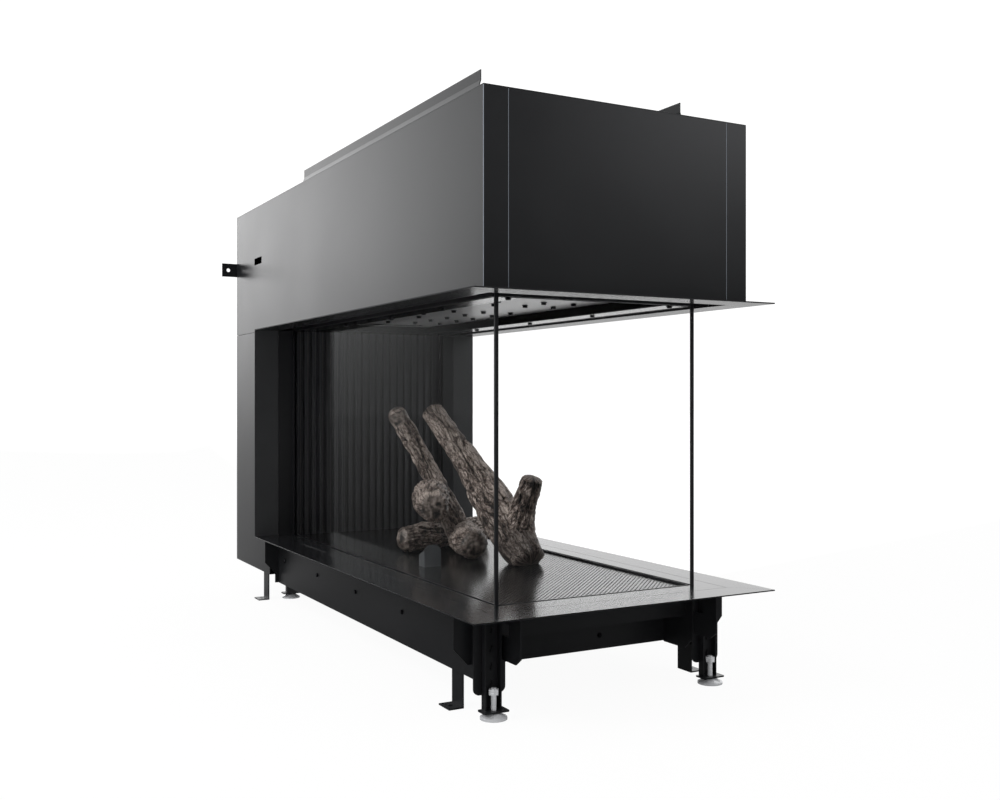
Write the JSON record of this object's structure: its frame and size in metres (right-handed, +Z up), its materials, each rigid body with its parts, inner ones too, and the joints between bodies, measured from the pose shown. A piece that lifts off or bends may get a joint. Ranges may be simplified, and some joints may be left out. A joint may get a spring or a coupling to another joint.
{
  "type": "three-sided gas fireplace",
  "caption": "Room-divider gas fireplace: a firebox glazed at the front and both sides under a sheet-steel hood, with a rear column, trim frame, logs on a slotted deck and levelling legs.",
  "frame": {"origin": "floor level under the middle of the bounding box", "axes": "+Z up, +Y along the long axis towards the column and the wall, -Y towards the glazed end, +X to the right seen from that end"},
  "size_m": [0.69, 1.647, 1.1995],
  "materials": {
    "casing": "satin anthracite paint",
    "leg": "satin anthracite paint",
    "lining": "heat-proof satin black",
    "glass": "clear ceramic glass",
    "log": "charred bark on ceramic",
    "zinc": "zinc plated",
    "brass": "plain",
    "stainless": "plain sheet"
  },
  "bodies": {
    "casing": {"air_collar": "stainless", "back_wall": "lining", "base_pan": "casing", "base_trim_front": "casing", "base_trim_left": "casing", "base_trim_right": "casing", "bulkhead": "casing", "burner_box": "lining", "burner_deck": "lining", "ceiling_baffle": "lining", "ceiling_rim": "lining", "column_back": "casing", "column_floor": "casing", "column_rails": "casing", "column_side_left": "casing", "column_side_right": "casing", "column_trims": "casing", "floor_brackets": "casing", "flue_box": "stainless", "flue_spigot": "stainless", "front_rail": "casing", "gas_pipe": "brass", "gas_valve": "brass", "glass_posts": "casing", "head_channels": "casing", "head_rails": "casing", "hearth_rails": "casing", "hood_back": "casing", "hood_corners": "casing", "hood_front_panel": "casing", "hood_roof": "casing", "hood_side_left": "casing", "hood_side_right": "casing", "jamb_channels": "casing", "leg_brackets": "casing", "log_branch": "log", "log_cross": "log", "log_crown": "log", "log_front": "log", "log_leaning": "log", "pilot_hood": "lining", "roof_rails": "casing", "sill_channels": "casing", "skirt_left": "casing", "skirt_right": "casing", "top_trims": "casing", "wall_brackets": "casing"},
    "leg_front_left": {"leg_front_left": "leg"},
    "foot_front_left": {"foot_front_left": "zinc"},
    "leg_front_right": {"leg_front_right": "leg"},
    "foot_front_right": {"foot_front_right": "zinc"},
    "leg_rear_left": {"leg_rear_left": "leg"},
    "foot_rear_left": {"foot_rear_left": "zinc"},
    "leg_rear_right": {"leg_rear_right": "leg"},
    "foot_rear_right": {"foot_rear_right": "zinc"},
    "glass_left": {"glass_left": "glass"},
    "glass_right": {"glass_right": "glass"},
    "glass_front": {"glass_front": "glass"},
    "hatch_front": {"hatch_front": "casing"},
    "hatch_rear": {"hatch_rear": "casing"}
  },
  "joints": [
    {"name": "leg_slide_front_left", "type": "slide", "parent": "casing", "child": "leg_front_left", "axis": [0, 0, -1], "range_m": [0, 0.06]},
    {"name": "foot_level_front_left", "type": "slide", "parent": "leg_front_left", "child": "foot_front_left", "axis": [0, 0, -1], "range_m": [0, 0.025]},
    {"name": "leg_slide_front_right", "type": "slide", "parent": "casing", "child": "leg_front_right", "axis": [0, 0, -1], "range_m": [0, 0.06]},
    {"name": "foot_level_front_right", "type": "slide", "parent": "leg_front_right", "child": "foot_front_right", "axis": [0, 0, -1], "range_m": [0, 0.025]},
    {"name": "leg_slide_rear_left", "type": "slide", "parent": "casing", "child": "leg_rear_left", "axis": [0, 0, -1], "range_m": [0, 0.06]},
    {"name": "foot_level_rear_left", "type": "slide", "parent": "leg_rear_left", "child": "foot_rear_left", "axis": [0, 0, -1], "range_m": [0, 0.025]},
    {"name": "leg_slide_rear_right", "type": "slide", "parent": "casing", "child": "leg_rear_right", "axis": [0, 0, -1], "range_m": [0, 0.06]},
    {"name": "foot_level_rear_right", "type": "slide", "parent": "leg_rear_right", "child": "foot_rear_right", "axis": [0, 0, -1], "range_m": [0, 0.025]},
    {"name": "pane_lift_left", "type": "slide", "parent": "casing", "child": "glass_left", "axis": [0, 0, 1], "range_m": [0, 0.016]},
    {"name": "pane_lift_right", "type": "slide", "parent": "casing", "child": "glass_right", "axis": [0, 0, 1], "range_m": [0, 0.016]},
    {"name": "pane_lift_front", "type": "slide", "parent": "casing", "child": "glass_front", "axis": [0, 0, 1], "range_m": [0, 0.016]},
    {"name": "hatch_hinge_front", "type": "hinge", "parent": "casing", "child": "hatch_front", "pos_m": [0, -0.333, 1.1368], "axis": [-1, 0, 0], "range_deg": [0, 70]},
    {"name": "hatch_hinge_rear", "type": "hinge", "parent": "casing", "child": "hatch_rear", "pos_m": [0, 0.247, 1.1368], "axis": [-1, 0, 0], "range_deg": [0, 70]}
  ]
}
